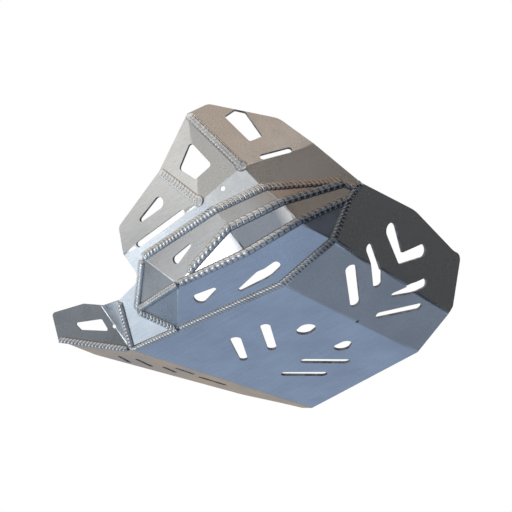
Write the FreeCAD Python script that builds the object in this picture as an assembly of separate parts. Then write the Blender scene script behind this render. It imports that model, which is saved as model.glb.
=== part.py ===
import FreeCAD, Part
import math
import os

# Skid plate for an off-road motorcycle: bent aluminium sheets welded edge to edge.
# All sizes in mm. X points to the front of the bike, Y to its left, Z up.
# Corner points are on the outer (lower and front) face of the sheet; the sheet lies inside them.

V = FreeCAD.Vector

# Sheet and welds
SHEET = 3.0
BEAD_HALF_WIDTH = 3.6
BEAD_HEIGHT = 1.9
BEAD_WAVE = 0.30
BEAD_CRESCENT = 1.3
BEAD_RUN_OUT = 4.0
PITCH_FINE = 2.6
PITCH_MEDIUM = 3.3
PITCH_COARSE = 4.6

# Belly trough
FLAT_HALF_WIDTH = 90.0
FLAT_SPREAD = 0.028
LEFT_CHINE_ANGLE = 23.5
LEFT_CHINE_WIDTH = 58.0
LEFT_CHINE_SPREAD = 0.027
RIGHT_CHINE_ANGLE = 18.0
RIGHT_CHINE_WIDTH = 37.0
RIGHT_CHINE_SPREAD = 0.143
SIDE_ANGLE = 58.5
FRONT_X_LEFT = 232.0
FRONT_X_RIGHT = 259.0
REAR_X_FLAT_LEFT = 2.0
REAR_X_FLAT_RIGHT = -20.0
REAR_X_CHINE_LEFT = 11.0
REAR_CHINE_RIGHT = (-18.0, 15.0)
REAR_CORNER_RADIUS = 9.0

# Left side of the trough, near the front: distance ahead of the flat's front corner, height up the sheet
LEFT_FRONT = -12.5
LEFT_NECK = (-15.8, 43.5)
LEFT_JOINT_LOW = (-22.0, 57.4)
LEFT_JOINT_TOP = 64.5

# Left side further back: distance along the bike and height up the side sheet
LEFT_CROWN = (117.7, 74.92)
LEFT_DIP = (35.5, 63.7)
LEFT_TAIL = (19.8, 64.8)
LEFT_HEEL = (7.6, 9.1)
LEFT_CROWN_RADIUS = 60.0

# Right side of the trough in the same way, near the front and further back
RIGHT_FRONT = -8.0
RIGHT_TIP = (56.0, 56.0)
RIGHT_CROWN_FRONT = (-33.0, 60.0)
RIGHT_REAR_X = 69.0
RIGHT_STEP = (9.0, 23.0)
RIGHT_CROWN = (150.0, 69.0)
RIGHT_CROWN_REAR = (88.0, 60.0)
RIGHT_CROWN_RADIUS = 14.0

# Corners of the nose and the pipe guard: distance ahead of the flat's front corner on that side,
# distance to the left of the flat's fold on that side (where the fold has x = 0), height.
# Front plates, from the right fold
NOSE_RIGHT = (66.0, 62.2, 59.7)
BROW_LOW = (76.3, 67.1, 85.7)
NOTCH_TOP = (39.6, 20.5, 34.2)
NOTCH_CORNER = (61.0, 65.5)
NOTCH_RADIUS = 15.0
BROW_RADIUS = 7.0

# Front plates, from the left fold
NOSE_CENTRE = (86.8, -10.4, 66.5)
NOSE_LEFT = (72.6, 34.5, 89.0)
WING_BASE = (17.1, 80.2, 117.0)
WING_SHOULDER = (43.9, 62.0, 146.6)
WING_TOP = (98.8, 20.6, 161.5)
CENTRE_TOP_LEFT = (114.3, 7.3, 148.8)
CENTRE_TOP_RIGHT = (108.2, -42.7, 112.1)
WING_SHOULDER_RADIUS = 20.0
WING_TOP_RADIUS = 9.0

# Right front plate, from the right fold
CHEEK_FOLD = (38.0, -10.8, 42.4)
CHEEK_TOP = (52.2, -25.1, 46.5)
CHEEK_OUTER = (70.9, -54.7, 41.9)
CHEEK_RADIUS = 4.0

# Pipe guard box, from the right fold
FRONT_STEP = 57.0
BOX_TOP_RIGHT = (54.4, 78.0, 52.2)
BOX_TIP = (24.0, 31.1, 23.1)
BOX_CORNER = (31.4, 103.5, 17.5)

# Pipe guard box, from the left fold
BOX_TOP_CENTRE = -1.5
BOX_TOP_LEFT = (53.9, 41.3, 68.9)
BOX_TOP_END = (-4.1, 83.7, 79.7)
BOX_UPPER_CENTRE = (63.7, 2.5, 39.8)
BOX_UPPER_LEFT = (40.4, 51.2, 53.3)
BOX_UPPER_END_HEIGHT = 77.0
BOX_LOWER_CENTRE = (46.1, 6.6, 17.3)
BOX_LOWER_LEFT = 54.9

# Belly openings, as rows of circles joined by straight sides: distance along the bike,
# distance out from the fold (from the middle on the flat), radius
FLAT_BARS = (
    ((187.5, -13.0, 6.0), (148.5, -40.5, 4.5)),
    ((183.5, 27.0, 5.4), (142.0, -3.0, 5.0)),
)
FLAT_OVALS = (((143.7, 46.2, 9.0), (145.3, 51.6, 9.2)), ((82.4, 45.9, 9.0), (84.4, 53.2, 6.8)))
FLAT_SLITS = (((88.8, -3.0, 5.2), (50.6, 24.5, 5.2)), ((82.2, -40.0, 4.8), (46.0, -13.5, 5.4)))
CHINE_BARS = (
    ((174.9, 47.2, 5.8), (136.8, 18.0, 5.4)),
    ((95.2, 18.2, 4.2), (58.4, 47.0, 4.8)),
)
SIDE_BARS = (((143.5, 41.5, 8.2), (117.1, 21.9, 5.4), (87.5, 42.6, 7.0)),)

# Slots bent over the left fold: the row on the chine, then the row on the side, both run on past the fold
BENT_SLOTS = (
    (((131.3, 47.4, 4.8), (157.5, 69.1, 5.9)), ((141.4, -5.6, 5.1), (166.5, 12.6, 5.4))),
    (
        ((101.0, 45.9, 3.0), (86.4, 60.3, 6.5), (79.0, 67.6, 7.0)),
        ((94.0, -6.5, 6.6), (86.4, 0.0, 6.2), (79.0, 6.0, 5.0), (68.8, 13.7, 4.9)),
    ),
)
RIGHT_CHINE_BARS = (
    ((243.0, 45.0, 2.6), (222.0, 56.0, 2.6)),
    ((228.0, 33.0, 2.6), (201.0, 43.0, 2.6)),
    ((192.0, 30.0, 2.8), (172.0, 36.0, 2.8)),
    ((184.0, 17.0, 2.4), (160.0, 18.0, 2.4)),
    ((144.0, 23.0, 3.0), (108.0, 22.0, 3.0)),
)
FOLD_HOLE = (114.0, 0.5, 2.0)

# Openings of the front sheets, along the named fold or edge, then up the sheet, radius
BROW_DROP = ((36.3, 19.8, 2.4), (62.8, 23.6, 6.2))
BROW_SLIT = ((22.0, -0.8, 2.9), (85.0, 0.8, 2.9))
CENTRE_WINDOW = ((60.5, 1.0), (37.8, 18.3), (22.0, 1.0), (33.0, -16.8))
CENTRE_WINDOW_RADIUS = 3.5
CENTRE_HOLE = (25.0, -4.5, 2.5)
WING_WINDOW = ((8.0, 58.8), (21.5, 63.5), (30.0, 57.5), (33.5, 25.0), (19.0, 23.5))
WING_WINDOW_RADIUS = 2.5
WING_SLIT = ((23.5, 3.0, 3.1), (50.5, 1.8, 3.1))
BOX_DROP = ((36.0, -20.5, 4.2), (57.2, -15.8, 1.6))
FOOT_DROP = ((8.206, -25.6, 6.4), (28.506, -22.8, 2.2))
FOOT_LEAF = ((30.5, -36.5, 2.0), (29.3, -8.0, 5.9), (30.7, 9.3, 4.5))
CHEEK_WINDOW = ((14.8, 20.4), (43.8, 28.6), (53.2, 16.8), (23.0, 13.9))
CHEEK_WINDOW_RADIUS = 2.0
CHEEK_HOLE = (58.0, 22.5, 2.2)

# How far a cutter stands clear of both faces: on one flat facet, and where the opening crosses a fold
FACET_CLEARANCE = 2.5
FOLD_CLEARANCE = 8.0

# Edge of the blocks that stop a cutter at a plane
TRIM_BLOCK = 400.0

# A point on the engine side of every sheet: it tells the inner face from the outer one
ENGINE = V(120.0, 0.0, 200.0)
ALONG_X = V(1.0, 0.0, 0.0)
ALONG_Y = V(0.0, 1.0, 0.0)
ALONG_Z = V(0.0, 0.0, 1.0)


def unit(v):
    return V(v).normalize()


def plane_of(p, q, r):
    """Plane through three points as (outward unit normal, distance from the origin)."""
    n = unit((q - p).cross(r - p))
    if n.dot(p - ENGINE) < 0:
        n = n * -1.0
    return n, n.dot(p)


def onto(plane, p, along):
    """The point moved along a direction until it lies on the plane."""
    n, d = plane
    return p + along * ((d - n.dot(p)) / n.dot(along))


def meeting_point(a, b, c):
    """The point that three planes share."""
    (na, da), (nb, db), (nc, dc) = a, b, c
    return (nb.cross(nc) * da + nc.cross(na) * db + na.cross(nb) * dc) * (1.0 / na.dot(nb.cross(nc)))


def from_right(ahead, left, z):
    """Point given from the flat's right fold and right front corner."""
    return V(FRONT_X_RIGHT + ahead, left - FLAT_HALF_WIDTH, z)


def from_left(ahead, left, z):
    """Point given from the flat's left fold and left front corner."""
    return V(FRONT_X_LEFT + ahead, left + FLAT_HALF_WIDTH, z)


# Points of the trough: x runs along the bike, out is measured across the sheet from its lower fold
def rise(out, angle, side):
    a = math.radians(angle)
    return V(0.0, side * out * math.cos(a), out * math.sin(a))


def on_flat(x, y):
    return V(x, y, 0.0)


def flat_fold(x, side):
    return V(x, side * (FLAT_HALF_WIDTH + FLAT_SPREAD * x), 0.0)


def on_left_chine(x, out):
    return flat_fold(x, 1) + rise(out, LEFT_CHINE_ANGLE, 1)


def on_left_side(x, out):
    return on_left_chine(x, LEFT_CHINE_WIDTH + LEFT_CHINE_SPREAD * x) + rise(out, SIDE_ANGLE, 1)


def on_right_chine(x, out):
    return flat_fold(x, -1) + rise(out, RIGHT_CHINE_ANGLE, -1)


def on_right_side(x, out):
    return on_right_chine(x, RIGHT_CHINE_WIDTH + RIGHT_CHINE_SPREAD * x) + rise(out, SIDE_ANGLE, -1)


def corner_points():
    """All sheet corners. Given points are moved onto the planes they share, so each facet is flat."""
    c = {}
    c["front_right"] = flat_fold(FRONT_X_RIGHT, -1)
    c["front_left"] = flat_fold(FRONT_X_LEFT, 1)
    edge = c["front_left"] - c["front_right"]
    c["front_step"] = c["front_right"] + edge * ((FRONT_STEP - FLAT_HALF_WIDTH - c["front_right"].y) / edge.y)
    c["chine_front"] = on_left_side(FRONT_X_LEFT + LEFT_FRONT, 0.0)
    c["tip_right"] = on_right_chine(FRONT_X_RIGHT + RIGHT_TIP[0], RIGHT_TIP[1])

    # Nose: lower plate, brow, centre and wing
    c["nose_centre"] = from_left(*NOSE_CENTRE)
    lower = plane_of(c["front_right"], c["front_left"], c["nose_centre"])
    c["nose_right"] = onto(lower, from_right(*NOSE_RIGHT), ALONG_X)
    c["notch_top"] = onto(lower, from_right(*NOTCH_TOP), ALONG_X)
    c["box_tip"] = onto(lower, from_right(*BOX_TIP), ALONG_X)
    c["top_right"] = onto(lower, from_right(*BOX_TOP_RIGHT), ALONG_X)
    c["brow_low"] = from_right(*BROW_LOW)
    brow = plane_of(c["nose_right"], c["nose_centre"], c["brow_low"])
    c["brow_top"] = onto(brow, from_left(*CENTRE_TOP_RIGHT), ALONG_X)
    c["nose_left"] = from_left(*NOSE_LEFT)
    c["wing_base"] = from_left(*WING_BASE)
    c["centre_top"] = from_left(*CENTRE_TOP_LEFT)
    wing = plane_of(c["centre_top"], c["nose_left"], c["wing_base"])
    c["wing_top"] = onto(wing, from_left(*WING_TOP), ALONG_X)
    c["wing_shoulder"] = onto(wing, from_left(*WING_SHOULDER), ALONG_X)

    # Sheets under the centre and the wing, down to the left side they land on
    along_side = on_left_side(1.0, 0.0) - on_left_side(0.0, 0.0)
    c["joint_low"] = on_left_side(FRONT_X_LEFT + LEFT_JOINT_LOW[0], LEFT_JOINT_LOW[1])
    under_wing = plane_of(c["nose_left"], c["wing_base"], c["joint_low"])
    c["joint_top"] = onto(under_wing, on_left_side(0.0, LEFT_JOINT_TOP), along_side)
    c["top_left"] = onto(under_wing, from_left(*BOX_TOP_LEFT), ALONG_X)
    c["top_end"] = onto(under_wing, from_left(*BOX_TOP_END), ALONG_X)
    under_centre = plane_of(c["nose_centre"], c["nose_left"], c["top_left"])
    c["top_centre"] = meeting_point(lower, under_centre, (ALONG_Y, BOX_TOP_CENTRE + FLAT_HALF_WIDTH))

    # Pipe guard: three rows of facets stepping down from the nose to the belly
    c["corner"] = from_right(*BOX_CORNER)
    first = plane_of(c["top_right"], c["top_centre"], c["corner"])
    c["upper_centre"] = onto(first, from_left(*BOX_UPPER_CENTRE), ALONG_X)
    second = plane_of(c["top_centre"], c["top_left"], c["upper_centre"])
    c["upper_left"] = onto(second, from_left(*BOX_UPPER_LEFT), ALONG_X)
    third = plane_of(c["top_left"], c["top_end"], c["upper_left"])
    foot = plane_of(c["front_step"], c["front_left"], c["corner"])
    c["lower_centre"] = onto(foot, from_left(*BOX_LOWER_CENTRE), ALONG_Z)
    foot_left = plane_of(c["lower_centre"], c["front_left"], c["chine_front"])
    middle = plane_of(c["upper_centre"], c["upper_left"], c["lower_centre"])
    c["lower_left"] = meeting_point(middle, foot_left, (ALONG_Y, BOX_LOWER_LEFT + FLAT_HALF_WIDTH))
    tail = plane_of(c["upper_left"], c["joint_low"], c["lower_left"])
    c["upper_end"] = meeting_point(third, tail, (ALONG_Z, BOX_UPPER_END_HEIGHT))
    c["neck"] = onto(tail, on_left_side(FRONT_X_LEFT + LEFT_NECK[0], LEFT_NECK[1]), along_side)

    # Right front plate, folded where it meets the nose
    c["cheek_top"] = from_right(*CHEEK_TOP)
    cheek = plane_of(c["front_right"], c["tip_right"], c["cheek_top"])
    c["cheek_outer"] = onto(cheek, from_right(*CHEEK_OUTER), ALONG_X)
    c["cheek_fold"] = onto(cheek, from_right(*CHEEK_FOLD), ALONG_X)

    # Rear and upper edges of the trough
    c["rear_left"] = flat_fold(REAR_X_FLAT_LEFT, 1)
    c["rear_right"] = flat_fold(REAR_X_FLAT_RIGHT, -1)
    c["rear_chine"] = on_left_side(REAR_X_CHINE_LEFT, 0.0)
    c["rear_chine_right"] = on_right_chine(*REAR_CHINE_RIGHT)
    c["left_heel"] = on_left_side(*LEFT_HEEL)
    c["left_tail"] = on_left_side(*LEFT_TAIL)
    c["left_dip"] = on_left_side(*LEFT_DIP)
    c["left_crown"] = on_left_side(*LEFT_CROWN)
    c["right_step"] = on_right_chine(*RIGHT_STEP)
    c["right_rear"] = on_right_side(RIGHT_REAR_X, 0.0)
    c["right_front"] = on_right_side(FRONT_X_RIGHT + RIGHT_FRONT, 0.0)
    c["right_crown_front"] = on_right_side(FRONT_X_RIGHT + RIGHT_CROWN_FRONT[0], RIGHT_CROWN_FRONT[1])
    c["right_crown"] = on_right_side(*RIGHT_CROWN)
    c["right_crown_rear"] = on_right_side(*RIGHT_CROWN_REAR)
    return c


# Each sheet is a list of flat facets, each facet a ring of corners
SHEETS = {
    "belly_plate": {
        "flat": "front_right front_left rear_left rear_right",
        "left_chine": "front_left chine_front rear_chine rear_left",
        "left_side": "chine_front neck joint_low joint_top left_crown left_dip left_tail left_heel rear_chine",
        "right_chine": "front_right tip_right right_front right_rear right_step rear_chine_right rear_right",
        "right_side": "right_front right_crown_front right_crown right_crown_rear right_rear",
    },
    "right_front_plate": {
        "cheek": "front_right tip_right cheek_outer cheek_top cheek_fold",
        "cheek_return": "cheek_fold notch_top front_right",
    },
    "front_plate": {
        "nose": "front_right front_step box_tip top_right top_centre nose_centre nose_right notch_top",
        "brow": "nose_right nose_centre brow_top brow_low",
    },
    "centre_plate": {
        "centre_right": "brow_top centre_top nose_centre",
        "centre_left": "centre_top nose_left nose_centre",
        "under_centre": "nose_centre nose_left top_left top_centre",
    },
    "left_plate": {
        "wing": "centre_top wing_top wing_shoulder wing_base nose_left",
        "under_wing": "nose_left wing_base joint_top joint_low top_end top_left",
    },
    "guard_upper": {
        "upper_side": "top_right box_tip corner",
        "upper_right": "top_right top_centre upper_centre corner",
        "upper_mid": "top_centre top_left upper_left upper_centre",
        "upper_left": "top_left top_end upper_end upper_left",
        "upper_tail": "top_end upper_end joint_low",
    },
    "guard_middle": {
        "middle_right": "corner upper_centre lower_centre",
        "middle_mid": "upper_centre upper_left lower_left lower_centre",
        "middle_left": "upper_left upper_end joint_low neck lower_left",
    },
    "guard_lower": {
        "lower_side": "box_tip corner front_step",
        "lower_right": "corner lower_centre front_left front_step",
        "lower_left": "lower_centre lower_left chine_front front_left",
        "lower_tail": "lower_left neck chine_front",
    },
}

# Each weld: corners it passes, sheets above it and below it, ripple pitch, set-back at both ends.
# The set-backs let beads that meet at one corner touch without running into each other.
WELDS = {
    "weld_left_centre": ("centre_top nose_left", "wing", "centre_left", PITCH_MEDIUM, 1.0, 3.0),
    "weld_centre_right": ("brow_top nose_centre", "centre_right", "brow", PITCH_MEDIUM, 1.0, 3.0),
    "weld_guard_top": (
        "top_right top_centre top_left top_end joint_low",
        "nose under_centre under_wing under_wing",
        "upper_right upper_mid upper_left upper_tail",
        PITCH_FINE, 1.0, 6.0,
    ),
    "weld_guard_side": ("top_right box_tip", "nose", "upper_side", PITCH_MEDIUM, 5.0, 5.0),
    "weld_guard_foot": ("box_tip front_step", "nose", "lower_side", PITCH_MEDIUM, 2.0, 8.0),
    "weld_guard_corner": ("box_tip corner", "upper_side", "lower_side", PITCH_FINE, 8.0, 1.0),
    "weld_guard_upper": (
        "corner upper_centre upper_left upper_end joint_low",
        "upper_right upper_mid upper_left upper_tail",
        "middle_right middle_mid middle_left middle_left",
        PITCH_COARSE, 22.0, 6.0,
    ),
    "weld_guard_lower": (
        "corner lower_centre lower_left neck",
        "middle_right middle_mid middle_left",
        "lower_right lower_left lower_tail",
        PITCH_COARSE, 2.0, 9.0,
    ),
    "weld_belly_guard": (
        "front_step front_left chine_front neck joint_low",
        "lower_right lower_left lower_tail middle_left",
        "flat left_chine left_side left_side",
        PITCH_COARSE, 3.2, 2.0,
    ),
    "weld_belly_front": ("front_right front_step", "nose", "flat", PITCH_MEDIUM, 4.0, 3.0),
    "weld_right_front": ("notch_top front_right", "nose", "cheek_return", PITCH_MEDIUM, 1.0, 6.0),
    "weld_right_chine": ("front_right tip_right", "cheek", "right_chine", PITCH_MEDIUM, 5.0, 2.0),
    "weld_left_side": ("joint_low joint_top", "under_wing", "left_side", PITCH_FINE, 2.0, 0.5),
}


def solid_of(faces):
    """Closed solid from flat faces that share their edges."""
    shell = Part.makeShell(faces)
    shell.sewShape()
    solid = Part.Solid(shell)
    if solid.Volume < 0:
        solid.reverse()
    return solid


def face_of(points):
    return Part.Face(Part.makePolygon(list(points) + [points[0]]))


def sheet_solid(facets, points, normals):
    """Folded sheet of even thickness: outer facets, inner facets and the cut edges between."""
    around = {}
    for name, ring in facets.items():
        for corner in ring:
            around.setdefault(corner, []).append(name)
    inside = {}
    for corner, names in around.items():
        n = [normals[name] for name in names]
        if len(n) == 1:
            inside[corner] = points[corner] - n[0] * SHEET
        elif len(n) == 2:
            inside[corner] = points[corner] - (n[0] + n[1]) * (SHEET / (1.0 + n[0].dot(n[1])))
        else:
            inside[corner] = meeting_point(*[(k, k.dot(points[corner]) - SHEET) for k in n])
    faces, edges = [], {}
    for ring in facets.values():
        faces.append(face_of([points[c] for c in ring]))
        faces.append(face_of([inside[c] for c in ring]))
        for a, b in zip(ring, ring[1:] + ring[:1]):
            edges.setdefault(frozenset((a, b)), []).append((a, b))
    for uses in edges.values():
        if len(uses) > 1:
            continue
        a, b = uses[0]
        p, q, r, s = points[a], points[b], inside[b], inside[a]
        if abs((q - p).cross(s - p).normalize().dot(r - p)) < 1e-9:
            faces.append(face_of([p, q, r, s]))
        else:
            faces.append(face_of([p, q, r]))
            faces.append(face_of([p, r, s]))
    return solid_of(faces)


class Frame:
    """Flat drawing frame on a sheet: along an edge, then across it with the outward normal given."""

    def __init__(self, origin, towards, normal):
        self.origin = origin
        self.along = unit(towards - origin)
        n = normal - self.along * self.along.dot(normal)
        self.normal = unit(n)
        self.across = self.normal.cross(self.along)

    def at(self, along, across, out=0.0):
        return self.origin + self.along * along + self.across * across + self.normal * out


def prism(wire, normal, clear=FACET_CLEARANCE):
    """Cutter through one sheet: from outside its outer face to past its inner face."""
    wire.translate(normal * clear)
    return Part.Face(wire).extrude(normal * -(SHEET + 2.0 * clear))


def bar(circles, at, normal, clear=FACET_CLEARANCE):
    """Cutter for a row of circles joined by common tangents."""
    parts = []
    for (xa, ya, ra), (xb, yb, rb) in zip(circles, circles[1:]):
        a, b = at(xa, ya), at(xb, yb)
        along = unit(b - a)
        across = normal.cross(along)
        lean = math.asin((ra - rb) / (b - a).Length)

        def tangent(turn):
            return along * math.sin(lean) + across * (turn * math.cos(lean))

        a1, a2 = a + tangent(1) * ra, a + tangent(-1) * ra
        b1, b2 = b + tangent(1) * rb, b + tangent(-1) * rb
        edges = [
            Part.Arc(a2, a - along * ra, a1).toShape(),
            Part.makeLine(a1, b1),
            Part.Arc(b1, b + along * rb, b2).toShape(),
            Part.makeLine(b2, a2),
        ]
        parts.append(prism(Part.Wire(edges), normal, clear))
    return parts[0] if len(parts) == 1 else parts[0].fuse(parts[1:])


def block_beyond(point, direction):
    """Block that fills the space on one side of a plane."""
    block = Part.makeBox(TRIM_BLOCK, TRIM_BLOCK, TRIM_BLOCK, V(-TRIM_BLOCK / 2, -TRIM_BLOCK / 2, 0.0))
    block.Placement = FreeCAD.Placement(point, FreeCAD.Rotation(V(0.0, 0.0, 1.0), direction))
    return block


def bent_slot(rows, chine, side):
    """Cutters for a slot bent over the left fold, each stopped at the plane that halves the fold."""
    across = side - chine
    fold = on_left_side(rows[1][0][0], 0.0)
    lower = bar(rows[0], on_left_chine, chine).common(block_beyond(fold, across * -1.0))
    upper = bar(rows[1], on_left_side, side).common(block_beyond(fold, across))
    return [lower, upper]


def round_hole(spot, at, normal):
    x, y, radius = spot
    length = SHEET + 2.0 * FACET_CLEARANCE
    return Part.makeCylinder(radius, length, at(x, y) + normal * FACET_CLEARANCE, normal * -1.0)


def rounded_ring(corners, radius):
    """Closed wire through corners, each rounded by an arc."""
    edges, last = [], None
    for before, corner, after in zip(corners[-1:] + corners[:-1], corners, corners[1:] + corners[:1]):
        start, middle, end = corner_arc(before, corner, after, radius)
        if last is not None:
            edges.append(Part.makeLine(last, start))
        else:
            first = start
        edges.append(Part.Arc(start, middle, end).toShape())
        last = end
    edges.append(Part.makeLine(last, first))
    return Part.Wire(edges)


def corner_arc(before, corner, after, radius):
    """Start, middle and end of the arc that rounds a corner."""
    u, w = unit(before - corner), unit(after - corner)
    half = u.getAngle(w) / 2.0
    middle = unit(u + w)
    reach = radius / math.tan(half)
    return corner + u * reach, corner + middle * (radius / math.sin(half) - radius), corner + w * reach


def window(corners, radius, at, normal, clear=FACET_CLEARANCE):
    return prism(rounded_ring([at(x, y) for x, y in corners], radius), normal, clear)


def trimmed_corner(before, corner, after, radius, normal):
    """Cutter that takes a sharp outer corner down to an arc."""
    start, middle, end = corner_arc(before, corner, after, radius)
    clear = corner + unit(corner - middle) * 2.0
    edges = [Part.makeLine(start, clear), Part.makeLine(clear, end), Part.Arc(end, middle, start).toShape()]
    return prism(Part.Wire(edges), normal)


def bead_section(seam, left, right, crown, travel, lean, lift, height):
    """Points over one cut through a bead, from the left foot to the right foot."""
    middle, half = (left + right) * 0.5, (left - right) * 0.5
    sink = (seam - middle).dot(crown)
    top = max(sink, 0.0) + max(height + min(sink, 0.0), 0.6 * height) * lift
    over = []
    for turn in (45.0, 90.0, 135.0):
        c, s = math.cos(math.radians(turn)), math.sin(math.radians(turn))
        over.append(middle + half * c + crown * (top * s) + travel * (lean * s))
    return [left] + over + [right]


def foot_vector(normals, sides):
    """From a corner of the seam to the bead's foot: along the fold where two facets of one side meet."""
    mean = sides[0] + sides[1]
    fold = normals[0].cross(normals[1])
    if fold.Length < 1e-4:
        fold = mean
    fold = unit(fold)
    if fold.dot(mean) < 0:
        fold = fold * -1.0
    return fold * (BEAD_HALF_WIDTH / max(fold.dot(unit(sides[0])), 0.6))


def weld_bead(points, normals, outlines, weld):
    """Rippled bead along a seam, its underside lying on the two sheets."""
    path, above, below, pitch, start_gap, end_gap = weld
    path = [points[name] for name in path.split()]
    facets = (above.split(), below.split())
    travels = [unit(b - a) for a, b in zip(path, path[1:])]
    path[0] = path[0] + travels[0] * start_gap
    path[-1] = path[-1] - travels[-1] * end_gap

    sides, crowns = ([], []), []
    for i, travel in enumerate(travels):
        for k in (0, 1):
            side = unit(normals[facets[k][i]].cross(travel))
            if not outlines[facets[k][i]].isInside((path[i] + path[i + 1]) * 0.5 + side, 0.01, True):
                side = side * -1.0
            sides[k].append(side)
        crowns.append(unit(normals[facets[0][i]] + normals[facets[1][i]]))

    feet, tops = ([], []), []
    for i in range(len(path)):
        before, after = max(i - 1, 0), min(i, len(travels) - 1)
        for k in (0, 1):
            n = (normals[facets[k][before]], normals[facets[k][after]])
            s = (sides[k][before], sides[k][after])
            at_end = before == after
            feet[k].append(path[i] + (s[0] * BEAD_HALF_WIDTH if at_end else foot_vector(n, s)))
        tops.append(unit(crowns[before] + crowns[after]))

    total = sum((b - a).Length for a, b in zip(path, path[1:]))
    sections, faces, run = [], [], 0.0
    for i, travel in enumerate(travels):
        length = (path[i + 1] - path[i]).Length
        count = 2 * max(1, round(length / pitch))
        first = len(sections)
        for k in range(0 if i == 0 else 1, count + 1):
            t = k / count

            def along(a, b):
                return a + (b - a) * t

            done = min(run + t * length, total - run - t * length)
            fade = min(1.0, max(done, 0.0) / BEAD_RUN_OUT)
            wave = BEAD_WAVE * (1.0 if k % 2 else -1.0)
            sections.append(bead_section(
                along(path[i], path[i + 1]), along(feet[0][i], feet[0][i + 1]),
                along(feet[1][i], feet[1][i + 1]), unit(along(tops[i], tops[i + 1])),
                travel, BEAD_CRESCENT * fade, 0.35 + 0.65 * fade, BEAD_HEIGHT + wave * fade,
            ))
        first = max(first - 1, 0)
        run += length
        for k in (0, -1):
            foot_line = [section[k] for section in sections[first:]]
            faces.append(face_of(foot_line + [path[i + 1], path[i]]))
    for a, b in zip(sections, sections[1:]):
        for k in range(4):
            faces.append(face_of([a[k], a[k + 1], b[k + 1]]))
            faces.append(face_of([a[k], b[k + 1], b[k]]))
    faces.append(face_of(sections[0] + [path[0]]))
    faces.append(face_of(sections[-1] + [path[-1]]))
    return solid_of(faces)


def belly_cutters(normals):
    flat, chine, side, right = (normals[n] for n in ("flat", "left_chine", "left_side", "right_chine"))
    cutters = [bar(row, on_flat, flat) for row in FLAT_BARS + FLAT_OVALS + FLAT_SLITS]
    cutters += [bar(row, on_left_chine, chine) for row in CHINE_BARS]
    cutters += [bar(row, on_left_side, side) for row in SIDE_BARS]
    for rows in BENT_SLOTS:
        cutters += bent_slot(rows, chine, side)
    cutters += [bar(row, on_right_chine, right) for row in RIGHT_CHINE_BARS]
    cutters.append(round_hole(FOLD_HOLE, on_left_chine, chine))
    return cutters


def front_cutters(c, normals):
    """Openings of the front sheets by sheet name."""
    brow = Frame(c["nose_right"], c["nose_centre"], normals["brow"])
    fold = Frame(c["nose_right"], c["nose_centre"], normals["brow"] + normals["nose"])
    centre = Frame(c["nose_centre"], c["centre_top"], normals["centre_right"] + normals["centre_left"])
    under = Frame(c["nose_centre"], c["nose_left"], normals["under_centre"])
    wing = Frame(c["nose_left"], c["wing_base"], normals["wing"])
    box = Frame(c["top_right"], c["top_centre"], normals["upper_right"])
    foot = Frame(c["corner"], c["lower_centre"], normals["lower_right"])
    leaf = Frame(c["lower_centre"], c["front_left"], normals["lower_right"] + normals["lower_left"])
    cheek = Frame(c["tip_right"], c["front_right"], normals["cheek"])
    return {
        "front_plate": [
            bar(BROW_DROP, brow.at, brow.normal),
            bar(BROW_SLIT, fold.at, fold.normal, FOLD_CLEARANCE),
        ],
        "centre_plate": [
            window(CENTRE_WINDOW, CENTRE_WINDOW_RADIUS, centre.at, centre.normal, FOLD_CLEARANCE),
            round_hole(CENTRE_HOLE, under.at, under.normal),
        ],
        "left_plate": [
            window(WING_WINDOW, WING_WINDOW_RADIUS, wing.at, wing.normal),
            bar(WING_SLIT, wing.at, wing.normal),
        ],
        "guard_upper": [bar(BOX_DROP, box.at, box.normal)],
        "guard_lower": [
            bar(FOOT_DROP, foot.at, foot.normal),
            bar(FOOT_LEAF, leaf.at, leaf.normal, FOLD_CLEARANCE),
        ],
        "right_front_plate": [
            window(CHEEK_WINDOW, CHEEK_WINDOW_RADIUS, cheek.at, cheek.normal),
            round_hole(CHEEK_HOLE, cheek.at, cheek.normal),
        ],
    }


def edge_cutters(c, normals):
    """Rounded outer corners and the notch of the nose, by sheet name."""

    def trim(before, corner, after, radius, facet):
        return trimmed_corner(c[before], c[corner], c[after], radius, normals[facet])

    nose = Frame(c["front_right"], c["front_left"], normals["nose"])
    notch = nose.at(*NOTCH_CORNER)
    start, middle, end = corner_arc(c["notch_top"], notch, c["nose_right"], NOTCH_RADIUS)
    clear = c["notch_top"] + c["nose_right"] - notch
    edges = [
        Part.makeLine(c["notch_top"], start),
        Part.Arc(start, middle, end).toShape(),
        Part.makeLine(end, c["nose_right"]),
        Part.makeLine(c["nose_right"], clear),
        Part.makeLine(clear, c["notch_top"]),
    ]
    return {
        "belly_plate": [
            trim("joint_top", "left_crown", "left_dip", LEFT_CROWN_RADIUS, "left_side"),
            trim("left_dip", "left_tail", "left_heel", REAR_CORNER_RADIUS, "left_side"),
            trim("right_front", "right_crown_front", "right_crown", RIGHT_CROWN_RADIUS, "right_side"),
            trim("right_crown", "right_crown_rear", "right_rear", RIGHT_CROWN_RADIUS, "right_side"),
        ],
        "front_plate": [
            prism(Part.Wire(edges), normals["nose"]),
            trim("nose_right", "brow_low", "brow_top", BROW_RADIUS, "brow"),
        ],
        "left_plate": [
            trim("centre_top", "wing_top", "wing_shoulder", WING_TOP_RADIUS, "wing"),
            trim("wing_top", "wing_shoulder", "wing_base", WING_SHOULDER_RADIUS, "wing"),
        ],
        "right_front_plate": [
            trim("tip_right", "cheek_outer", "cheek_top", CHEEK_RADIUS, "cheek"),
        ],
    }


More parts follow.
